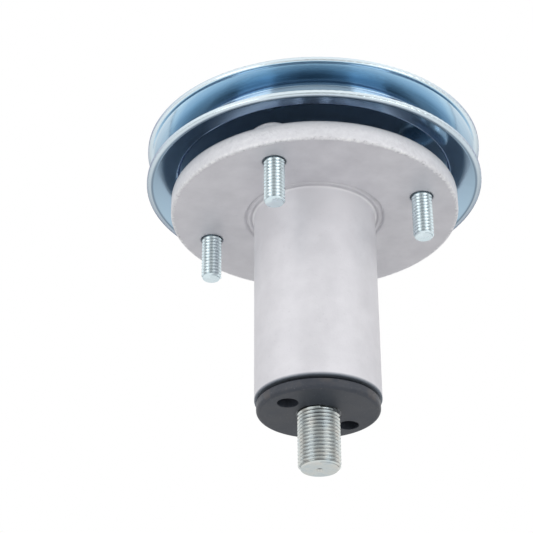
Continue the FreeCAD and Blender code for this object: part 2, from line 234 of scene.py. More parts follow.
world = bpy.data.worlds.new("white_studio")
world.use_nodes = True
bpy.context.scene.world = world
tree = world.node_tree
tree.nodes.clear()
direction = add_node(tree, "ShaderNodeTexCoord").outputs["Generated"]
aim = add_node(tree, "ShaderNodeSeparateXYZ", Vector=direction).outputs
front_room = ramp(tree, aim["Z"], *FRONT_ROOM)
room = blend(tree, soft_step(tree, aim["Y"], *ROOM_FADE), front_room, WHITE)
ambient = blend(tree, soft_step(tree, aim["Y"], *AMBIENT_FADE), AMBIENT_FRONT, AMBIENT_BACK)
mirrored, path = mirrored_rays(tree)
lit = either(tree, mirrored, sky(tree, ambient), sky(tree, room))
seen = either(tree, path["Is Camera Ray"], lit, sky(tree, WHITE))
feed(tree, add_node(tree, "ShaderNodeOutputWorld").inputs["Surface"], seen)
bpy.context.scene.view_settings.view_transform = "Standard"
print("world:", world.name)

# %% [markdown]
# ## The floor
# The floor is a sheet of pale paper that lies far below, because the camera looks up from under the part.
# For the camera a weak glow lifts the paper to nearly white, and the part's shadow stays. In the metal the
# floor shows white too, with grey patches in front, where the camera stands, and at both sides.

# %% Floor sheet
FLOOR_DROP = 0.55
FLOOR_HALF = 4.0
CORNER_SIGNS = ((-1, -1), (1, -1), (1, 1), (-1, 1))

floor_z = cad_low.z - FLOOR_DROP
floor_corners = [(x * FLOOR_HALF, y * FLOOR_HALF, floor_z) for x, y in CORNER_SIGNS]
floor_mesh = bpy.data.meshes.new("studio_floor")
floor_mesh.from_pydata(floor_corners, [], [(0, 1, 2, 3)])
floor = bpy.data.objects.new("studio_floor", floor_mesh)
bpy.context.scene.collection.objects.link(floor)
print("floor at mm:", round(floor_z / MM, 1))

# %% Floor paper
PAPER_TONE = grey(0.78)
CAMERA_LIFT = 0.50
MIRROR_REACH = 2.0
MIRROR_TONES = ((0.0, grey(0.60)), (0.25, grey(0.95)), (0.70, grey(0.92)), (0.90, grey(0.70)))
CAMERA_SHADE = grey(0.36)
CAMERA_ASIDE = (0.60, 0.20)
CAMERA_FRONT = (-0.40, -0.80)
SIDE_SHADE = grey(0.40)
SIDE_ASIDE = (0.85, 1.15)
SIDE_BACK = (0.60, 0.20)

floor_paper = bpy.data.materials.new("floor_paper")
floor_paper.use_nodes = True
tree = floor_paper.node_tree
tree.nodes.clear()
place = add_node(tree, "ShaderNodeTexCoord").outputs["Object"]
place = add_node(tree, "ShaderNodeSeparateXYZ", Vector=place).outputs
aside = calc(tree, "ABSOLUTE", place["X"])
tone = ramp(tree, calc(tree, "MULTIPLY_ADD", place["Y"], 0.5 / MIRROR_REACH, 0.5), *MIRROR_TONES)
for shade, aside_fade, depth_fade in (
    (SIDE_SHADE, SIDE_ASIDE, SIDE_BACK),
    (CAMERA_SHADE, CAMERA_ASIDE, CAMERA_FRONT),
):
    across = soft_step(tree, aside, *aside_fade)
    along = soft_step(tree, place["Y"], *depth_fade)
    tone = blend(tree, calc(tree, "MULTIPLY", across, along), tone, shade)
mirrored, path = mirrored_rays(tree)
lift = calc(tree, "MULTIPLY", path["Is Camera Ray"], CAMERA_LIFT)
pale_paper = add_node(tree, "ShaderNodeAddShader")
paper = add_node(tree, "ShaderNodeBsdfDiffuse", Color=PAPER_TONE)
feed(tree, pale_paper.inputs[0], paper.outputs[0])
lifted = add_node(tree, "ShaderNodeEmission", Color=WHITE, Strength=lift)
feed(tree, pale_paper.inputs[1], lifted.outputs[0])
glow = add_node(tree, "ShaderNodeEmission", Color=tone, Strength=1.0)
surface = either(tree, mirrored, pale_paper.outputs[0], glow.outputs[0])
feed(tree, add_node(tree, "ShaderNodeOutputMaterial").inputs["Surface"], surface)
floor_mesh.materials.append(floor_paper)
print("floor finish:", floor_paper.name)

# %% Soft lights
LIGHT_TARGET = (0.0, 0.0, -0.02)
SOFTBOX_ASIDE = 0.80
SOFTBOX_FRONT = -0.80
SOFTBOX_HEIGHT = -0.08
SOFTBOX_SIZE = (0.6, 1.0)
SOFTBOX_WATTS = 2.5
TOP_PLACE = (0.0, 0.15, 1.1)
TOP_SIZE = (1.0, 0.8)
TOP_WATTS = 3.0


def soft_light(name, place, size, watts):
    """A rectangular soft light that faces the part."""
    lamp = bpy.data.lights.new(name, "AREA")
    lamp.shape = "RECTANGLE"
    lamp.size, lamp.size_y = size
    lamp.energy = watts
    holder = bpy.data.objects.new(name, lamp)
    bpy.context.scene.collection.objects.link(holder)
    holder.location = place
    holder.rotation_euler = (Vector(LIGHT_TARGET) - Vector(place)).to_track_quat("-Z", "Y").to_euler()


for name, side in (("left_softbox", -1), ("right_softbox", 1)):
    soft_light(name, (side * SOFTBOX_ASIDE, SOFTBOX_FRONT, SOFTBOX_HEIGHT), SOFTBOX_SIZE, SOFTBOX_WATTS)
soft_light("top_softbox", TOP_PLACE, TOP_SIZE, TOP_WATTS)

# %% [markdown]
# ## Shared surface effects
# Real metal is never one flat colour. Three effects repeat over the part, so each is a node group with its
# own inputs. The first is a cloudy mottle with a fine grain, as on a blasted casting. The second is a set
# of fine rings round the shaft's axis, as a lathe or a press tool leaves them. The third is a mask that is
# 1 between two distances from the axis, for rims and edges. All read Object coordinates: every piece sits
# at the origin, so the pattern is fixed to the metal.

# %% Mottle and grain group


def start_group(name, inputs, outputs):
    """An empty shader group with float inputs {name: default} and outputs, and its end nodes."""
    group = bpy.data.node_groups.new(name, "ShaderNodeTree")
    for label, default in inputs.items():
        socket = group.interface.new_socket(label, in_out="INPUT", socket_type="NodeSocketFloat")
        socket.default_value = default
    for label in outputs:
        group.interface.new_socket(label, in_out="OUTPUT", socket_type="NodeSocketFloat")
    return group, group.nodes.new("NodeGroupInput").outputs, group.nodes.new("NodeGroupOutput").inputs


def noise(tree, place, scale, detail, roughness):
    """The output of a noise texture."""
    values = {"Vector": place, "Scale": scale, "Detail": detail, "Roughness": roughness}
    return add_node(tree, "ShaderNodeTexNoise", **values).outputs[0]


mottle_group, given, result = start_group(
    "Mottle and Grain",
    {"Cloud Scale": 40.0, "Grain Scale": 1500.0},
    ("Cloud", "Grain"),
)
place = add_node(mottle_group, "ShaderNodeTexCoord").outputs["Object"]
cloud = noise(mottle_group, place, given["Cloud Scale"], detail=3.0, roughness=0.55)
grain = noise(mottle_group, place, given["Grain Scale"], detail=2.0, roughness=0.6)
feed(mottle_group, result["Cloud"], cloud)
feed(mottle_group, result["Grain"], grain)
print("group:", mottle_group.name)

# %% Lathe rings group


def axis_distance(tree):
    """The Object coordinates' three parts, and the distance from the Z axis."""
    place = add_node(tree, "ShaderNodeTexCoord").outputs["Object"]
    parts = add_node(tree, "ShaderNodeSeparateXYZ", Vector=place).outputs
    squares = calc(tree, "MULTIPLY_ADD", parts["X"], parts["X"], calc(tree, "POWER", parts["Y"], 2.0))
    return parts, calc(tree, "SQRT", squares)


ring_group, given, result = start_group(
    "Lathe Rings", {"Rings per Metre": 3000.0, "Streak Turns": 3.0}, ("Rings",)
)
parts, radius = axis_distance(ring_group)
spread = add_node(ring_group, "ShaderNodeCombineXYZ")
for label in ("X", "Y"):
    unit = calc(ring_group, "DIVIDE", parts[label], radius)
    feed(ring_group, spread.inputs[label], calc(ring_group, "MULTIPLY", unit, given["Streak Turns"]))
along = calc(ring_group, "ADD", radius, parts["Z"])
feed(ring_group, spread.inputs["Z"], calc(ring_group, "MULTIPLY", along, given["Rings per Metre"]))
rings = noise(ring_group, spread.outputs[0], scale=1.0, detail=3.0, roughness=0.65)
feed(ring_group, result["Rings"], rings)
print("group:", ring_group.name)

# %% Radius band group
band_group, given, result = start_group(
    "Radius Band", {"Inner Radius": 0.0, "Outer Radius": 1.0, "Softness": 0.0002}, ("Mask", "Radius")
)
parts, radius = axis_distance(band_group)
passed = []
for limit in (given["Inner Radius"], given["Outer Radius"]):
    start = calc(band_group, "SUBTRACT", limit, given["Softness"])
    end = calc(band_group, "ADD", limit, given["Softness"])
    passed.append(soft_step(band_group, radius, start, end))
feed(band_group, result["Mask"], calc(band_group, "SUBTRACT", *passed))
feed(band_group, result["Radius"], radius)
print("group:", band_group.name)

# %% [markdown]
# ## Metal finishes
# Each finish is one Principled shader. Its base colour is what the metal shows under white light, and the
# groups above move the colour, the roughness and the bump a little about their middle values. A few sizes
# from the frame tell the finishes where the flange, the barrel, the disc and the pulley's groove are.

# %% Sizes from the frame
STUD_HEAD_HEIGHT = 3.2 * MM
housing_low, housing_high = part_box("spindle_housing")
stud_low, stud_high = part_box("mounting_studs")
disc_low, disc_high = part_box("blade_drive_disc")
flange_top = stud_high.z - STUD_HEAD_HEIGHT
barrel_end = housing_low.z
pulley_middle = mounts["belt_groove"]["pos_m"][2]
disc_face = mounts["blade_seat"]["pos_m"][2]
flange_mm = housing_high.x / MM
barrel_mm = mounts["deck_pilot"]["dims"]["r_mm"]
disc_mm = disc_high.x / MM
print("radii in mm:", [round(value, 1) for value in (flange_mm, barrel_mm, disc_mm)])

# %% Finish helpers


def start_finish(name, metallic):
    """A new material's tree and its Principled shader."""
    material = bpy.data.materials.new(name)
    material.use_nodes = True
    tree = material.node_tree
    shader = tree.nodes["Principled BSDF"]
    shader.inputs["Metallic"].default_value = metallic
    return material, tree, shader


def add_group(tree, group, **values):
    """The outputs of a group placed in a material, with its own values."""
    node = tree.nodes.new("ShaderNodeGroup")
    node.node_tree = group
    for label, value in values.items():
        node.inputs[label.replace("_", " ")].default_value = value
    return node.outputs


def tint(tree, tone, mask, strength, colour):
    """A tone that goes some of the way to a colour where a mask is 1."""
    return blend(tree, calc(tree, "MULTIPLY", mask, strength), tone, colour)


PATTERN_LOW = 0.3
PATTERN_HIGH = 0.7


def between(tree, pattern, low, high):
    """A value that follows a noise pattern between two ends."""
    node = add_node(tree, "ShaderNodeMapRange", Value=pattern)
    node.inputs["From Min"].default_value = PATTERN_LOW
    node.inputs["From Max"].default_value = PATTERN_HIGH
    node.inputs["To Min"].default_value = low
    node.inputs["To Max"].default_value = high
    return node.outputs[0]


print("finish helpers ready")

# %% Masks
# A limit below zero takes in the axis itself.
FAR_INSIDE_MM = -5.0
FAR_OUTSIDE_MM = 100.0
ROOT_MARK = "thread_root"
ROOT_FADE = (0.45, 0.85)


def band(tree, inner_mm, outer_mm, softness_mm):
    """The mask of a ring between two radii."""
    values = {"Inner_Radius": inner_mm * MM, "Outer_Radius": outer_mm * MM, "Softness": softness_mm * MM}
    return add_group(tree, band_group, **values)["Mask"]


def inside(tree, radius_mm, softness_mm):
    """The mask of all that is nearer to the axis than a radius."""
    return band(tree, FAR_INSIDE_MM, radius_mm, softness_mm)


def outside(tree, radius_mm, softness_mm):
    """The mask of all that is farther from the axis than a radius."""
    return band(tree, radius_mm, FAR_OUTSIDE_MM, softness_mm)


def radius_ramp(tree, *stops):
    """A colour that changes with the distance from the axis, with stops (radius in mm, colour)."""
    radius = add_group(tree, band_group)["Radius"]
    widest = stops[-1][0]
    share = calc(tree, "DIVIDE", radius, widest * MM)
    return ramp(tree, share, *((radius_mm / widest, colour) for radius_mm, colour in stops))


def in_roots(tree, share):
    """A mask for the roots of the threads, which the thread tree marks."""
    mark = add_node(tree, "ShaderNodeAttribute", {"attribute_name": ROOT_MARK}).outputs["Fac"]
    return calc(tree, "MULTIPLY", soft_step(tree, mark, *ROOT_FADE), share)


print("masks ready")

# %% Edges and relief
BEVEL_SAMPLES = 6


def soft_edges(tree, radius_mm):
    """The surface's normal, with sharp edges shaded as if they were rounded."""
    return add_node(tree, "ShaderNodeBevel", {"samples": BEVEL_SAMPLES}, Radius=radius_mm * MM).outputs[0]


def add_bump(tree, normal, height, depth_mm, strength=1.0):
    """A normal with fine relief of a given depth."""
    bump = add_node(tree, "ShaderNodeBump", Height=height, Normal=normal)
    bump.inputs["Strength"].default_value = strength
    bump.inputs["Distance"].default_value = depth_mm * MM
    return bump.outputs[0]


print("relief helpers ready")

# %% [markdown]
# ## Blasted cast aluminium
# The housing is one casting. It could be a flat grey, but on the real piece the flange's rim keeps the
# rougher, paler skin of the mould. Its upper edge is painted darker as painted shade under the pulley, and
# the bright flecks along its lower edge are partly chipped skin and partly painted highlight.
# The barrel is painted paler as painted light, most of all under the flange, and its end face is painted
# dark as painted shade in the gap above the disc. So a cloudy grey comes first, and masks by radius and by
# height lay the other tones over it.

# %% Cast skin
CAST_DARK = (0.675, 0.668, 0.705, 1.0)
CAST_LIGHT = (0.775, 0.768, 0.805, 1.0)
MOULD_SKIN = (0.93, 0.935, 0.96, 1.0)
CAST_SPECK = (0.52, 0.515, 0.545, 1.0)
RIM_DEPTH_MM = 1.0

casting, tree, shader = start_finish("blasted_aluminium", metallic=0.30)
mottle = add_group(tree, mottle_group, Cloud_Scale=90.0, Grain_Scale=1500.0)
skin = add_group(tree, mottle_group, Cloud_Scale=650.0, Grain_Scale=900.0)
rim = outside(tree, flange_mm - RIM_DEPTH_MM, softness_mm=0.5)
tone = ramp(tree, mottle["Cloud"], (0.32, CAST_DARK), (0.68, CAST_LIGHT))
tone = tint(tree, tone, rim, skin["Cloud"], MOULD_SKIN)
speck = soft_step(tree, skin["Grain"], low=0.62, high=0.76)
tone = tint(tree, tone, speck, strength=0.25, colour=CAST_SPECK)
print("finish:", casting.name)

# %% Rim and barrel tones
# Painted shade: the rim's upper edge is painted darker, as the shade under the pulley.
RIM_TOP_PAINTED_SHADE = (0.33, 0.335, 0.35, 1.0)
# Painted highlight: the bright flecks along the rim's lower edge are partly chipped skin and partly painted
# highlight.
CHIP_AND_HIGHLIGHT_FLECK = (0.98, 0.98, 0.99, 1.0)
DARK_PIT = (0.36, 0.36, 0.38, 1.0)
# Painted light: the barrel is painted paler, most of all under the flange.
BARREL_PAINTED_LIGHT = (0.97, 0.965, 0.99, 1.0)
# Painted shade: the barrel's end face is painted dark, as the shade in the gap above the disc.
END_FACE_PAINTED_SHADE = (0.19, 0.22, 0.26, 1.0)
LOW_EDGE_DEPTH_MM = 1.3
LOW_EDGE_FADE = (1.2 * MM, 0.3 * MM)
BARREL_ROOT_MM = 0.6
BARREL_FADE = (-18.0 * MM, 0.0)
PAINTED_LIGHT_EVERYWHERE = 0.12
PAINTED_LIGHT_UNDER_FLANGE = 0.65
SHADE_RISE = 1.2 * MM

height = axis_distance(tree)[0]["Z"]
# Painted shade along the rim's upper edge.
upper_edge = soft_step(tree, height, low=0.4 * flange_top, high=1.1 * flange_top)
tone = tint(tree, tone, calc(tree, "MULTIPLY", rim, upper_edge), strength=0.6, colour=RIM_TOP_PAINTED_SHADE)
low_edge = soft_step(tree, height, *LOW_EDGE_FADE)
low_edge = calc(tree, "MULTIPLY", outside(tree, flange_mm - LOW_EDGE_DEPTH_MM, softness_mm=0.3), low_edge)
# Bright flecks along the lower edge: chipped skin and painted highlight.
fleck = calc(tree, "MULTIPLY", low_edge, soft_step(tree, skin["Cloud"], low=0.52, high=0.62))
tone = tint(tree, tone, fleck, strength=0.7, colour=CHIP_AND_HIGHLIGHT_FLECK)
pit = calc(tree, "MULTIPLY", low_edge, soft_step(tree, skin["Cloud"], low=0.42, high=0.34))
tone = tint(tree, tone, pit, strength=0.4, colour=DARK_PIT)
# Painted light on the barrel, strongest under the flange.
on_barrel = inside(tree, barrel_mm + BARREL_ROOT_MM, softness_mm=0.3)
under_flange = soft_step(tree, height, *BARREL_FADE)
painted_light_share = calc(tree, "MULTIPLY_ADD", under_flange, PAINTED_LIGHT_UNDER_FLANGE, PAINTED_LIGHT_EVERYWHERE)
tone = tint(tree, tone, on_barrel, painted_light_share, BARREL_PAINTED_LIGHT)
# Painted shade on the barrel's end face.
end_face_shade = soft_step(tree, height, low=barrel_end + SHADE_RISE, high=barrel_end)
feed(tree, shader.inputs["Base Color"], blend(tree, end_face_shade, tone, END_FACE_PAINTED_SHADE))
print("casting's end face at mm:", round(barrel_end / MM, 1))

# %% Relief of the casting
MOULD_RELIEF = 6.0
feed(tree, shader.inputs["Roughness"], between(tree, mottle["Cloud"], low=0.44, high=0.56))
cast_skin = calc(tree, "MULTIPLY", calc(tree, "MULTIPLY", skin["Cloud"], rim), MOULD_RELIEF)
relief = calc(tree, "ADD", mottle["Grain"], cast_skin)
normal = soft_edges(tree, radius_mm=1.0)
feed(tree, shader.inputs["Normal"], add_bump(tree, normal, relief, depth_mm=0.05, strength=0.7))
print("casting's tree:", len(tree.nodes), "nodes")

# %% [markdown]
# ## The pulley's plating
# The plating is blue zinc, and its colour also carries painted light: the open lips are painted pale as a
# painted highlight, the plating is painted darker into the groove as painted shade, and a thin dark line of
# painted shade lies in the crease where the lip bends, on the outer side. Two colour scales follow the
# distance from the axis: one for the walls of the groove and one for the outer sides. A wall of the groove
# faces the pulley's middle plane, so the product of the normal's Z and the height above that plane tells
# which is which. The dies also leave the walls a little flatter than drawn: a relief that grows evenly with
# the radius tilts the mirror by that much. And they roll the lip's edge: there the relief falls away faster
# and faster.

# %% Blue zinc plating
# Blue zinc with painted light by radius: painted shade deep in the groove, painted highlight on the lips.
GROOVE_TONES_AND_SHADE = (
    (53.0, (0.38, 0.53, 0.67, 1.0)),
    (55.4, (0.38, 0.53, 0.67, 1.0)),
    (56.4, (0.23, 0.33, 0.42, 1.0)),
    (59.6, (0.29, 0.43, 0.55, 1.0)),
    (61.2, (0.44, 0.61, 0.75, 1.0)),
    (63.4, (0.58, 0.74, 0.86, 1.0)),
    (65.0, (0.82, 0.93, 0.98, 1.0)),
    (70.0, (0.86, 0.96, 1.0, 1.0)),
)
# Blue zinc with painted light by radius on the outer sides: a thin painted-shade line at the lip's crease,
# painted highlight on the lip.
OUTER_TONES_AND_SHADE = (
    (53.0, (0.40, 0.53, 0.66, 1.0)),
    (62.5, (0.43, 0.58, 0.70, 1.0)),
    (63.8, (0.43, 0.58, 0.70, 1.0)),
    (64.2, (0.24, 0.32, 0.39, 1.0)),
    (64.6, (0.24, 0.32, 0.39, 1.0)),
    (65.1, (0.66, 0.76, 0.82, 1.0)),
    (70.0, (0.86, 0.96, 1.0, 1.0)),
)
BLUE_STREAK = (0.42, 0.60, 0.76, 1.0)
EDGE_TINT = (0.36, 0.36, 0.48, 1.0)
SIDE_CHANGE = 0.1 * MM
LIP_FROM_MM = 64.6
LIP_HAZE = 0.06

blue_zinc, tree, shader = start_finish("blue_zinc_plating", metallic=1.0)
rings = add_group(tree, ring_group, Rings_per_Metre=1800.0, Streak_Turns=2.0)["Rings"]
parts, radius = axis_distance(tree)
facing = add_node(tree, "ShaderNodeTexCoord").outputs["Normal"]
facing = add_node(tree, "ShaderNodeSeparateXYZ", Vector=facing).outputs["Z"]
outwards = calc(tree, "MULTIPLY", facing, calc(tree, "SUBTRACT", parts["Z"], pulley_middle))
outer = soft_step(tree, outwards, low=-SIDE_CHANGE, high=SIDE_CHANGE)
# The plating's colour, with its painted shade and painted highlight by radius.
tone = blend(tree, outer, radius_ramp(tree, *GROOVE_TONES_AND_SHADE), radius_ramp(tree, *OUTER_TONES_AND_SHADE))
streak = soft_step(tree, rings, low=0.40, high=0.75)
feed(tree, shader.inputs["Base Color"], tint(tree, tone, streak, strength=0.25, colour=BLUE_STREAK))
haze = calc(tree, "MULTIPLY", outside(tree, LIP_FROM_MM, softness_mm=0.4), LIP_HAZE)
haze = calc(tree, "ADD", between(tree, rings, low=0.09, high=0.17), haze)
feed(tree, shader.inputs["Roughness"], haze)
feed(tree, shader.inputs["Specular Tint"], EDGE_TINT)
print("finish:", blue_zinc.name)

# %% Relief of the plating
GROOVE_TILT = 0.017
OUTER_TILT = -0.047
WALL_FROM = 55.5 * MM
WALL_TO = 64.1 * MM
ROLLED_FROM = 64.9 * MM
ROLLED_CURVE = 250.0
METRE_IN_MM = 1000.0

on_wall = add_node(tree, "ShaderNodeClamp", Value=radius, Min=WALL_FROM, Max=WALL_TO).outputs[0]
tilt = add_node(tree, "ShaderNodeMix", Factor=outer, A=GROOVE_TILT, B=OUTER_TILT).outputs[0]
past_lip = calc(tree, "MAXIMUM", calc(tree, "SUBTRACT", radius, ROLLED_FROM), 0.0)
rolled = calc(tree, "MULTIPLY", calc(tree, "POWER", past_lip, 2.0), -ROLLED_CURVE)
form = calc(tree, "MULTIPLY_ADD", on_wall, tilt, rolled)
normal = add_bump(tree, soft_edges(tree, radius_mm=0.3), form, depth_mm=METRE_IN_MM)
feed(tree, shader.inputs["Normal"], add_bump(tree, normal, rings, depth_mm=0.01, strength=0.10))
flatter = [round(math.degrees(abs(slope)), 1) for slope in (GROOVE_TILT, OUTER_TILT)]
print("walls flatter by degrees:", flatter)

# %% [markdown]
# ## Zinc on the studs and the shaft
# Both are plated steel. A plain grey mirror would look like chrome, so a cloudy pattern moves the colour.
# The studs are pale and cold. The shaft has faint warm and cold patches. Painted shade darkens the thread
# roots on both, and on the shaft also its journals between the two threads, from where it enters the disc,
# and the centre-drilled mark. The thread tree further on marks its roots, so that the painted shade follows
# the thread.

# %% Pale zinc plating
PALE_DARK = (0.75, 0.88, 0.93, 1.0)
PALE_LIGHT = (0.82, 0.93, 0.97, 1.0)
# Painted shade: the studs' thread roots are painted dark.
STUD_ROOT_SHADE = (0.25, 0.33, 0.37, 1.0)
ROOT_SHARE = 0.5

pale_zinc, tree, shader = start_finish("pale_zinc_plating", metallic=1.0)
mottle = add_group(tree, mottle_group, Cloud_Scale=180.0, Grain_Scale=2500.0)
tone = ramp(tree, mottle["Cloud"], (PATTERN_LOW, PALE_DARK), (PATTERN_HIGH, PALE_LIGHT))
# The thread roots are painted darker, as painted shade.
feed(tree, shader.inputs["Base Color"], blend(tree, in_roots(tree, ROOT_SHARE), tone, STUD_ROOT_SHADE))
feed(tree, shader.inputs["Roughness"], between(tree, mottle["Cloud"], low=0.24, high=0.32))
print("finish:", pale_zinc.name)

# %% Dull zinc plating
COLD_PATCH = (0.58, 0.66, 0.69, 1.0)
PLAIN_PATCH = (0.66, 0.71, 0.70, 1.0)
WARM_PATCH = (0.72, 0.72, 0.68, 1.0)
# Painted shade: the shaft is painted dark in its thread roots, its centre-drilled mark and its journals,
# from where it enters the disc.
SHAFT_PAINTED_SHADE = (0.11, 0.115, 0.125, 1.0)
JOURNAL_FOOT = (disc_face - 0.05 * MM, disc_face)
JOURNAL_TOP = (24.5 * MM, 25.0 * MM)
DRILLED_MM = 1.0

dull_zinc, tree, shader = start_finish("dull_zinc_plating", metallic=1.0)
mottle = add_group(tree, mottle_group, Cloud_Scale=220.0, Grain_Scale=1200.0)
patches = ((PATTERN_LOW, COLD_PATCH), (0.50, PLAIN_PATCH), (PATTERN_HIGH, WARM_PATCH))
tone = ramp(tree, mottle["Cloud"], *patches)
height = axis_distance(tree)[0]["Z"]
ends = [soft_step(tree, height, *fade) for fade in (JOURNAL_FOOT, JOURNAL_TOP)]
journal = calc(tree, "SUBTRACT", *ends)
drilled = inside(tree, DRILLED_MM, softness_mm=0.15)
root_and_drill_shade = calc(tree, "MAXIMUM", in_roots(tree, ROOT_SHARE), drilled)
# Painted shade on the journals, the thread roots and the centre-drilled mark.
tone = blend(tree, calc(tree, "MAXIMUM", journal, root_and_drill_shade), tone, SHAFT_PAINTED_SHADE)
feed(tree, shader.inputs["Base Color"], tone)
feed(tree, shader.inputs["Roughness"], between(tree, mottle["Grain"], low=0.16, high=0.26))
print("finish:", dull_zinc.name)

# %% [markdown]
# ## Bearings, disc and seals
# Bearing steel is ground, so fine rings move its colour and its shine. The disc has a dark satin coat. It
# is worn brown along the edge, and that lighter edge also stands in for a painted highlight on the rounded
# rim. Fine light specks lie on it. The seals are plain black rubber, for which the mottle alone is enough.

# %% Ground bearing steel
STEEL_DARK = (0.60, 0.60, 0.61, 1.0)
STEEL_LIGHT = (0.70, 0.70, 0.71, 1.0)

bearing_steel, tree, shader = start_finish("ground_bearing_steel", metallic=1.0)
rings = add_group(tree, ring_group, Rings_per_Metre=4000.0, Streak_Turns=4.0)["Rings"]
tone = ramp(tree, rings, (PATTERN_LOW, STEEL_DARK), (PATTERN_HIGH, STEEL_LIGHT))
feed(tree, shader.inputs["Base Color"], tone)
feed(tree, shader.inputs["Roughness"], between(tree, rings, low=0.16, high=0.28))
print("finish:", bearing_steel.name)

# %% Dark coated steel
COAT_DARK = (0.030, 0.036, 0.050, 1.0)
COAT_LIGHT = (0.043, 0.051, 0.068, 1.0)
# Brown wear along the disc's edge, partly a painted highlight on the rounded rim.
WORN_BROWN_AND_SHEEN = (0.15, 0.125, 0.105, 1.0)
COAT_SPECK = (0.30, 0.30, 0.31, 1.0)
WORN_DEPTH_MM = 0.5

dark_steel, tree, shader = start_finish("dark_coated_steel", metallic=0.0)
mottle = add_group(tree, mottle_group, Cloud_Scale=120.0, Grain_Scale=1800.0)
tone = ramp(tree, mottle["Cloud"], (PATTERN_LOW, COAT_DARK), (PATTERN_HIGH, COAT_LIGHT))
disc_edge = outside(tree, disc_mm - WORN_DEPTH_MM, softness_mm=0.4)
# The edge tint: wear, and painted highlight.
wear_and_sheen = calc(tree, "MULTIPLY", disc_edge, soft_step(tree, mottle["Cloud"], low=0.48, high=0.70))
tone = tint(tree, tone, wear_and_sheen, strength=0.4, colour=WORN_BROWN_AND_SHEEN)
speck = soft_step(tree, mottle["Grain"], low=0.66, high=0.74)
feed(tree, shader.inputs["Base Color"], tint(tree, tone, speck, strength=0.5, colour=COAT_SPECK))
feed(tree, shader.inputs["Roughness"], between(tree, mottle["Cloud"], low=0.42, high=0.55))
normal = soft_edges(tree, radius_mm=0.3)
feed(tree, shader.inputs["Normal"], add_bump(tree, normal, mottle["Grain"], depth_mm=0.02, strength=0.3))
print("finish:", dark_steel.name)

# %% Seal rubber
RUBBER_DARK = grey(0.018)
RUBBER_LIGHT = grey(0.028)

seal_rubber, tree, shader = start_finish("seal_rubber", metallic=0.0)
mottle = add_group(tree, mottle_group, Cloud_Scale=200.0, Grain_Scale=3000.0)
tone = ramp(tree, mottle["Cloud"], (PATTERN_LOW, RUBBER_DARK), (PATTERN_HIGH, RUBBER_LIGHT))
feed(tree, shader.inputs["Base Color"], tone)
feed(tree, shader.inputs["Roughness"], between(tree, mottle["Cloud"], low=0.55, high=0.70))
print("finish:", seal_rubber.name)

# %% [markdown]
# ## Dress the CAD pieces
# The record names a material slot for each piece, so one table from slot to finish dresses all of them in
# a loop. The pulley's hub is a turned bush whose fine rings show, so it gets the finish with rings.

# %% Finishes on the pieces
FINISH_BY_SLOT = {
    "cast_aluminium": casting,
    "blue_zinc": blue_zinc,
    "zinc_steel": pale_zinc,
    "bright_steel": bearing_steel,
    "dark_steel": dark_steel,
    "seal_rubber": seal_rubber,
}
FINISH_BY_NODE = {"pulley_hub": bearing_steel}
for part in frame["record"]["subparts"]:
    mesh = nodes[part["node"]].data
    mesh.materials.clear()
    mesh.materials.append(FINISH_BY_NODE.get(part["node"], FINISH_BY_SLOT[part["material_slot"]]))

# %% [markdown]
# ## Cut threads
# A screw thread is one groove that climbs round the bar. In a mesh it is best made from rows that climb
# too: four rows make one turn of the groove, two at its root and two at its crest. Geometry Nodes take a
# flat grid and roll it up: the grid's first direction becomes the angle, and the second becomes the row.
# A row's height grows with the angle by one pitch for each turn, so a row meets the next turn's row where
# the grid closes, and merging the doubles leaves one clean skin. The free end is chamfered by keeping
# each point inside a cone, and it has a centre-drilled mark. Where the thread ends, the last ring takes
# the radius of the piece that joins it. These threads are rolled, so their crests and roots are shaded
# round. The tree also marks the points in the root, where the finishes paint shade.

# %% Threaded end tree
ROWS_PER_TURN = 4.0
SPARE_TURNS = 3.0
LEAD_IN_TURNS = 1.0
TIP_ROW, MARK_ROW, FIRST_THREAD_ROW = 0.0, 1.0, 2.0
ROOT_START, ROOT_END, CREST_START, CREST_END = 0.0, 0.25, 0.5625, 0.6875
LAST_ROOT_STEP = 1.0
HALFWAY = 0.5
MERGE_DISTANCE = 2e-6
SHARED_THREAD_INPUTS = (
    "Major Radius",
    "Pitch",
    "Depth",
    "Chamfer",
    "Drill Radius",
    "Drill Depth",
    "Segments",
)
END_INPUTS = ("Free End Z", "Length", "Way", "Joining Radius")
THREAD_INPUTS = (*SHARED_THREAD_INPUTS, *END_INPUTS)
SOCKET_KINDS = {"Segments": "NodeSocketInt", "Count": "NodeSocketInt"}


def start_tree(name, labels, kinds=None):
    """An empty Geometry Nodes tree with named inputs, and its end nodes."""
    tree = bpy.data.node_groups.new(name, "GeometryNodeTree")
    kinds = {**SOCKET_KINDS, **(kinds or {})}
    for label in labels:
        kind = kinds.get(label, "NodeSocketFloat")
        tree.interface.new_socket(label, in_out="INPUT", socket_type=kind)
    tree.interface.new_socket("Geometry", in_out="OUTPUT", socket_type="NodeSocketGeometry")
    return tree, tree.nodes.new("NodeGroupInput").outputs, tree.nodes.new("NodeGroupOutput").inputs


def choose(tree, index, *values):
    """One of several values, by an index."""
    node = tree.nodes.new("GeometryNodeIndexSwitch")
    node.data_type = "FLOAT"
    while len(node.index_switch_items) < len(values):
        node.index_switch_items.new()
    feed(tree, node.inputs["Index"], index)
    for number, value in enumerate(values):
        feed(tree, node.inputs[number + 1], value)
    return node.outputs[0]


def switch(tree, when, otherwise, then):
    """One of two values, by a 0 or 1 test."""
    node = add_node(tree, "GeometryNodeSwitch", {"input_type": "FLOAT"}, Switch=when)
    feed(tree, node.inputs["False"], otherwise)
    feed(tree, node.inputs["True"], then)
    return node.outputs[0]


def weld(tree, node):
    """Points of a node's result that lie on each other, merged into one."""
    values = {"Geometry": node.outputs[0], "Distance": MERGE_DISTANCE}
    return add_node(tree, "GeometryNodeMergeByDistance", **values)


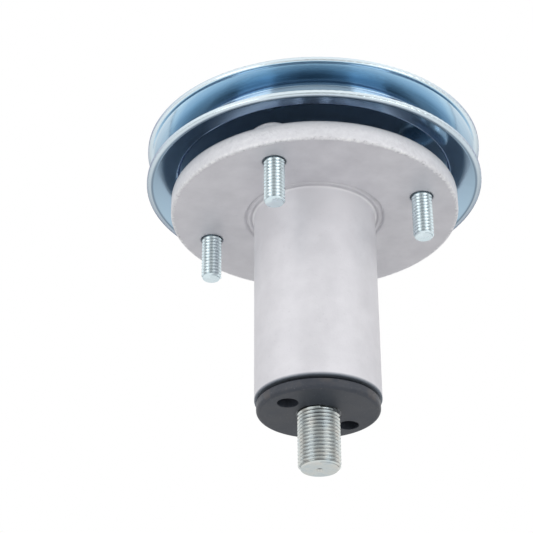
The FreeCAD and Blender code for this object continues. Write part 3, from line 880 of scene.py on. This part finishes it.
def finish_tree(tree, node, given, result):
    """End a tree with real faces that carry its finish."""
    real = add_node(tree, "GeometryNodeRealizeInstances", Geometry=node.outputs[0])
    values = {"Geometry": real.outputs[0], "Material": given["Finish"]}
    finished = add_node(tree, "GeometryNodeSetMaterial", **values)
    feed(tree, result["Geometry"], finished.outputs[0])


threaded_end, given, result = start_tree("Threaded End", THREAD_INPUTS)
tree = threaded_end
turns = calc(tree, "CEIL", calc(tree, "DIVIDE", given["Length"], given["Pitch"]))
turns = calc(tree, "ADD", turns, SPARE_TURNS)
row_count = calc(tree, "MULTIPLY_ADD", turns, ROWS_PER_TURN, FIRST_THREAD_ROW)
grid = add_node(
    tree,
    "GeometryNodeMeshGrid",
    Size_X=1.0,
    Size_Y=1.0,
    Vertices_X=calc(tree, "ADD", given["Segments"], 1.0),
    Vertices_Y=row_count,
)
flat = add_node(tree, "GeometryNodeInputPosition").outputs[0]
flat = add_node(tree, "ShaderNodeSeparateXYZ", Vector=flat).outputs
turn = calc(tree, "ADD", flat["X"], HALFWAY)
last_row = calc(tree, "SUBTRACT", row_count, 1.0)
row = calc(tree, "ROUND", calc(tree, "MULTIPLY", calc(tree, "ADD", flat["Y"], HALFWAY), last_row))
print("thread rows:", int(ROWS_PER_TURN), "to a turn")

# %% Thread rows to heights
thread_row = calc(tree, "SUBTRACT", row, FIRST_THREAD_ROW)
whole = calc(tree, "FLOOR", calc(tree, "DIVIDE", thread_row, ROWS_PER_TURN))
step = calc(tree, "FLOORED_MODULO", thread_row, ROWS_PER_TURN)
phase = choose(tree, step, ROOT_START, ROOT_END, CREST_START, CREST_END)
climb = calc(tree, "MULTIPLY", turn, given["Way"])
height = calc(tree, "ADD", calc(tree, "ADD", whole, phase), climb)
height = calc(tree, "SUBTRACT", height, LEAD_IN_TURNS)
height = calc(tree, "MULTIPLY", height, given["Pitch"])
nearly_all = calc(tree, "SUBTRACT", given["Length"], MERGE_DISTANCE)
past_end = calc(tree, "GREATER_THAN", height, nearly_all)
height = calc(tree, "MINIMUM", calc(tree, "MAXIMUM", height, 0.0), given["Length"])
is_mark = calc(tree, "LESS_THAN", row, MARK_ROW + HALFWAY)
is_tip = calc(tree, "LESS_THAN", row, TIP_ROW + HALFWAY)
end_height = switch(tree, is_mark, height, 0.0)
end_height = switch(tree, is_tip, end_height, given["Drill Depth"])
print("a row climbs one pitch to a turn, the same way round at both ends")

# %% Thread rows to radii
on_crest = calc(tree, "GREATER_THAN", step, LAST_ROOT_STEP + HALFWAY)
root = calc(tree, "SUBTRACT", given["Major Radius"], given["Depth"])
radius = switch(tree, on_crest, root, given["Major Radius"])
cone = calc(tree, "ADD", calc(tree, "SUBTRACT", given["Major Radius"], given["Chamfer"]), height)
radius = calc(tree, "MINIMUM", radius, cone)
radius = switch(tree, past_end, radius, given["Joining Radius"])
radius = switch(tree, is_mark, radius, given["Drill Radius"])
radius = switch(tree, is_tip, radius, 0.0)
angle = calc(tree, "MULTIPLY", turn, math.tau)
place = add_node(tree, "ShaderNodeCombineXYZ")
feed(tree, place.inputs["X"], calc(tree, "MULTIPLY", radius, calc(tree, "COSINE", angle)))
feed(tree, place.inputs["Y"], calc(tree, "MULTIPLY", radius, calc(tree, "SINE", angle)))
feed(tree, place.inputs["Z"], calc(tree, "MULTIPLY_ADD", end_height, given["Way"], given["Free End Z"]))
in_root = calc(tree, "LESS_THAN", calc(tree, "ADD", on_crest, past_end), HALFWAY)
in_root = calc(tree, "MULTIPLY", in_root, calc(tree, "GREATER_THAN", height, MERGE_DISTANCE))
marked = add_node(
    tree,
    "GeometryNodeStoreNamedAttribute",
    {"data_type": "FLOAT", "domain": "POINT"},
    Geometry=grid.outputs["Mesh"],
    Name=ROOT_MARK,
    Value=in_root,
)
rolled = add_node(
    tree, "GeometryNodeSetPosition", Geometry=marked.outputs[0], Position=place.outputs[0]
)
points_down = calc(tree, "LESS_THAN", given["Way"], 0.0)
welded = weld(tree, rolled)
outward = add_node(tree, "GeometryNodeFlipFaces", Mesh=welded.outputs[0], Selection=points_down)
feed(tree, result["Geometry"], outward.outputs[0])
print("thread tree:", len(threaded_end.nodes), "nodes")

# %% [markdown]
# ## Turned shapes
# The rest of a stud or a shaft is turned: a profile swept round the axis. The profile is a short list of
# (radius, height) corners. Its rings have as many points as the thread's, so the two skins weld at the
# ring where they meet.

# %% Turned skin


def turned_body(name, corners, segments):
    """A spare object with a skin of rings about the Z axis, from the lowest corner to the highest."""
    points = []
    faces = []
    for radius, height in corners:
        for index in range(segments):
            angle = math.tau * index / segments
            points.append((radius * math.cos(angle), radius * math.sin(angle), height))
    for low in range(0, segments * (len(corners) - 1), segments):
        high = low + segments
        for index in range(segments):
            after = (index + 1) % segments
            faces.append((low + index, low + after, high + after, high + index))
    mesh = bpy.data.meshes.new(name)
    mesh.from_pydata(points, [], faces)
    body = bpy.data.objects.new(name, mesh)
    bpy.context.scene.collection.objects.link(body)
    return body


def rounded(before, corner, after, rounding, steps=5):
    """A corner replaced by a small arc of points."""
    middle = Vector(corner)
    first = middle + (Vector(before) - middle).normalized() * rounding
    last = middle + (Vector(after) - middle).normalized() * rounding
    arc = []
    for number in range(steps + 1):
        share = number / steps
        arc.append(tuple(first.lerp(middle, share).lerp(middle.lerp(last, share), share)))
    return arc


print("turned helpers ready")

# %% [markdown]
# ## From a tree to a piece
# A modifier makes its shape again each time the scene changes, but the finished piece has to be a plain
# mesh. So a tree is run once on a spare object, its result is copied, and the modifier is removed. The
# skin is then welded, its faces are turned outwards, and the piece takes the place of its CAD node.

# %% Geometry Nodes runner


def run_tree(tree, values, name):
    """Run a Geometry Nodes tree once and keep its result as a plain mesh object."""
    holder = bpy.data.objects.new(name + "_maker", bpy.data.meshes.new(name + "_seed"))
    bpy.context.scene.collection.objects.link(holder)
    modifier = holder.modifiers.new("maker", "NODES")
    modifier.node_group = tree
    for item in tree.interface.items_tree:
        if item.in_out == "INPUT":
            modifier[item.identifier] = values[item.name]
    bpy.context.view_layer.update()
    graph = bpy.context.evaluated_depsgraph_get()
    mesh = bpy.data.meshes.new_from_object(holder.evaluated_get(graph), depsgraph=graph)
    mesh.name = name
    holder.modifiers.remove(modifier)
    bpy.data.objects.remove(holder)
    piece = bpy.data.objects.new(name, mesh)
    bpy.context.scene.collection.objects.link(piece)
    return piece


def close_skin(mesh, rolled_zones, sharp_degrees=35.0):
    """Weld and smooth a skin, keep sharp edges outside the rolled zones, and count its open edges."""
    work = bmesh.new()
    work.from_mesh(mesh)
    bmesh.ops.remove_doubles(work, verts=work.verts, dist=MERGE_DISTANCE)
    bmesh.ops.dissolve_degenerate(work, edges=work.edges, dist=MERGE_DISTANCE)
    bmesh.ops.recalc_face_normals(work, faces=work.faces)
    open_edges = sum(1 for edge in work.edges if not edge.is_manifold)
    work.to_mesh(mesh)
    work.free()
    mesh.shade_smooth()
    mesh.set_sharp_from_angle(angle=math.radians(sharp_degrees))
    for edge in mesh.edges:
        low, high = sorted(mesh.vertices[index].co.z for index in edge.vertices)
        if any(zone_low < low and high < zone_high for zone_low, zone_high in rolled_zones):
            edge.use_edge_sharp = False
    return open_edges


def stand_for(piece, node, body, rolled_zones):
    """Let a finished piece ride on a body in the place of a CAD node."""
    open_edges = close_skin(piece.data, rolled_zones)
    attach(piece, body)
    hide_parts(node)
    print(piece.name, "faces:", len(piece.data.polygons), "open edges:", open_edges)


print("piece helpers ready")

# %% [markdown]
# ## The studs
# Four studs of one kind stand in a square round the barrel, so one stud is made and then placed on the
# points of a circle. The circle comes from the record's bolt pattern, and its turn from the CAD node: the
# fourth power of each point's direction is the same for all four studs, which leaves the pattern's angle.

# %% Stud pattern from the frame
INCH = 25.4 * MM
THREADS_PER_INCH = 18
DEPTH_OF_PITCH = 0.6134
THREAD_PITCH = INCH / THREADS_PER_INCH
THREAD_DEPTH = DEPTH_OF_PITCH * THREAD_PITCH
STUD_SEGMENTS = 64
STUD_TIP_CHAMFER = 0.7 * MM
STUD_NECK_RADIUS = 3.5 * MM
STUD_RIB_LENGTH = 5.0 * MM
STUD_RIB_RADIUS = 4.54 * MM
STUD_HEAD_RADIUS = 7.5 * MM
STUD_HEAD_ROUND = 1.4 * MM

stud_mount = mounts["deck_studs"]["dims"]
stud_count = stud_mount["count"]
stud_points = nodes["mounting_studs"].data.vertices
pattern = sum(complex(point.co.x, point.co.y) ** stud_count for point in stud_points)
stud_angle = math.atan2(pattern.imag, pattern.real) / stud_count
print("stud angle:", round(math.degrees(stud_angle), 2), "circle mm:", stud_mount["pcd_mm"])

# %% Stud tree
STUD_KINDS = {"Body": "NodeSocketObject", "Finish": "NodeSocketMaterial"}
stud_labels = (*THREAD_INPUTS, "Count", "Circle Radius", "First Angle", "Body", "Finish")
stud_tree, given, result = start_tree("Ring of Studs", stud_labels, STUD_KINDS)
tree = stud_tree
thread = add_node(tree, "GeometryNodeGroup", {"node_tree": threaded_end})
for label in THREAD_INPUTS:
    feed(tree, thread.inputs[label], given[label])
head = add_node(tree, "GeometryNodeObjectInfo", Object=given["Body"])
joined = tree.nodes.new("GeometryNodeJoinGeometry")
for part in (head.outputs["Geometry"], thread.outputs[0]):
    feed(tree, joined.inputs[0], part)
stud = weld(tree, joined)
circle = add_node(
    tree, "GeometryNodeMeshCircle", Vertices=given["Count"], Radius=given["Circle Radius"]
)
turn = add_node(tree, "ShaderNodeCombineXYZ", Z=given["First Angle"]).outputs[0]
turned = add_node(tree, "GeometryNodeTransform", Geometry=circle.outputs[0], Rotation=turn)
placed = add_node(
    tree, "GeometryNodeInstanceOnPoints", Points=turned.outputs[0], Instance=stud.outputs[0]
)
finish_tree(tree, placed, given, result)
print("stud tree:", len(stud_tree.nodes), "nodes")

# %% Build the studs
rib_end = flange_top - STUD_RIB_LENGTH
head_corner = (STUD_HEAD_RADIUS, stud_high.z)
head_middle = (0.0, stud_high.z)
stud_corners = [
    (STUD_NECK_RADIUS, 0.0),
    (STUD_NECK_RADIUS, rib_end),
    (STUD_RIB_RADIUS, rib_end),
    (STUD_RIB_RADIUS, flange_top),
    (STUD_HEAD_RADIUS, flange_top),
    *rounded((STUD_HEAD_RADIUS, flange_top), head_corner, head_middle, STUD_HEAD_ROUND),
    head_middle,
]
stud_body = turned_body("stud_body", stud_corners, STUD_SEGMENTS)
stud_values = {
    "Major Radius": stud_mount["stud_r_mm"] * MM,
    "Pitch": THREAD_PITCH,
    "Depth": THREAD_DEPTH,
    "Free End Z": stud_low.z,
    "Length": -stud_low.z,
    "Way": 1.0,
    "Chamfer": STUD_TIP_CHAMFER,
    "Drill Radius": 0.0,
    "Drill Depth": 0.0,
    "Joining Radius": STUD_NECK_RADIUS,
    "Segments": STUD_SEGMENTS,
    "Count": stud_count,
    "Circle Radius": stud_mount["pcd_mm"] / 2 * MM,
    "First Angle": stud_angle,
    "Body": stud_body,
    "Finish": pale_zinc,
}
studs = run_tree(stud_tree, stud_values, "threaded_studs")
bpy.data.objects.remove(stud_body)
stand_for(studs, "mounting_studs", "housing", [(stud_low.z + STUD_TIP_CHAMFER, 0.0)])

# %% [markdown]
# ## The shaft
# The shaft is one turned bar with a thread at each end: the blade's thread below, and the pulley nut's
# above. Its journals and its collar are read from the pieces that sit on it, so it always fits them. Both
# ends come from the same thread group, and a box the size of the key cuts the keyway.

# %% Shaft sizes from its neighbours
SHAFT_SEGMENTS = 128
SHAFT_CHAMFER = 1.1 * MM
DRILL_RADIUS = 1.3 * MM
DRILL_HALF_ANGLE = math.radians(30.0)
THREAD_RUN_IN = 0.5 * MM
RELIEF_RADIUS = 7.05 * MM
RELIEF_LENGTH = 0.1 * MM
SHOULDER_INSET = 0.05 * MM
PRESS_FIT = 0.01 * MM


def inner_radius(node):
    """The smallest distance of a node's points from the axis."""
    return min(math.hypot(point.co.x, point.co.y) for point in nodes[node].data.vertices)


shaft_low, shaft_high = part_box("spindle_shaft")
key_low, key_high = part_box("pulley_key")
journal_radius = inner_radius("lower_bearing_inner_ring") - PRESS_FIT
collar_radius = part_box("bearing_spacer")[1].x
collar_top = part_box("lower_bearing_inner_ring")[0].z
blade_join = disc_low.z - RELIEF_LENGTH
relief_top = disc_low.z + SHOULDER_INSET
nut_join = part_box("pulley_hub")[1].z - THREAD_RUN_IN
print("journal mm:", round(journal_radius / MM, 2), "collar mm:", round(collar_radius / MM, 2))

# %% Shaft tree
SHAFT_KINDS = {
    "Bar": "NodeSocketObject",
    "Finish": "NodeSocketMaterial",
    "Keyway Middle": "NodeSocketVector",
    "Keyway Size": "NodeSocketVector",
}
SHAFT_ENDS = ("Blade", "Nut")
shaft_labels = [*SHARED_THREAD_INPUTS, *SHAFT_KINDS]
for end in SHAFT_ENDS:
    shaft_labels += [f"{end} {label}" for label in END_INPUTS]
shaft_tree, given, result = start_tree("Threaded Shaft", shaft_labels, SHAFT_KINDS)
tree = shaft_tree
joined = tree.nodes.new("GeometryNodeJoinGeometry")
bar = add_node(tree, "GeometryNodeObjectInfo", Object=given["Bar"])
feed(tree, joined.inputs[0], bar.outputs["Geometry"])
for end in SHAFT_ENDS:
    thread = add_node(tree, "GeometryNodeGroup", {"node_tree": threaded_end})
    for label in SHARED_THREAD_INPUTS:
        feed(tree, thread.inputs[label], given[label])
    for label in END_INPUTS:
        feed(tree, thread.inputs[label], given[f"{end} {label}"])
    feed(tree, joined.inputs[0], thread.outputs[0])
block = add_node(tree, "GeometryNodeMeshCube", Size=given["Keyway Size"])
cutter = add_node(
    tree, "GeometryNodeTransform", Geometry=block.outputs["Mesh"], Translation=given["Keyway Middle"]
)
cut = add_node(tree, "GeometryNodeMeshBoolean", {"operation": "DIFFERENCE", "solver": "EXACT"})
feed(tree, cut.inputs["Mesh 1"], weld(tree, joined).outputs[0])
feed(tree, cut.inputs["Mesh 2"], cutter.outputs[0])
finish_tree(tree, cut, given, result)
print("shaft tree:", len(shaft_tree.nodes), "nodes")

# %% Build the shaft
shaft_corners = [
    (RELIEF_RADIUS, blade_join),
    (RELIEF_RADIUS, relief_top),
    (journal_radius, relief_top),
    (journal_radius, disc_high.z),
    (collar_radius, disc_high.z),
    (collar_radius, collar_top),
    (journal_radius, collar_top),
    (journal_radius, nut_join),
]
shaft_bar = turned_body("shaft_bar", shaft_corners, SHAFT_SEGMENTS)
shaft_values = {
    "Major Radius": mounts["blade_thread"]["dims"]["r_mm"] * MM,
    "Pitch": THREAD_PITCH,
    "Depth": THREAD_DEPTH,
    "Chamfer": SHAFT_CHAMFER,
    "Drill Radius": DRILL_RADIUS,
    "Drill Depth": DRILL_RADIUS / math.tan(DRILL_HALF_ANGLE),
    "Segments": SHAFT_SEGMENTS,
    "Bar": shaft_bar,
    "Finish": dull_zinc,
    "Keyway Middle": (key_low + key_high) / 2,
    "Keyway Size": key_high - key_low,
    "Blade Free End Z": shaft_low.z,
    "Blade Length": blade_join - shaft_low.z,
    "Blade Way": 1.0,
    "Blade Joining Radius": RELIEF_RADIUS,
    "Nut Free End Z": shaft_high.z,
    "Nut Length": shaft_high.z - nut_join,
    "Nut Way": -1.0,
    "Nut Joining Radius": journal_radius,
}
shaft = run_tree(shaft_tree, shaft_values, "threaded_shaft")
bpy.data.objects.remove(shaft_bar)
shaft_threads = [
    (shaft_low.z + SHAFT_CHAMFER, blade_join),
    (nut_join, shaft_high.z - SHAFT_CHAMFER),
]
stand_for(shaft, "spindle_shaft", "spindle", shaft_threads)
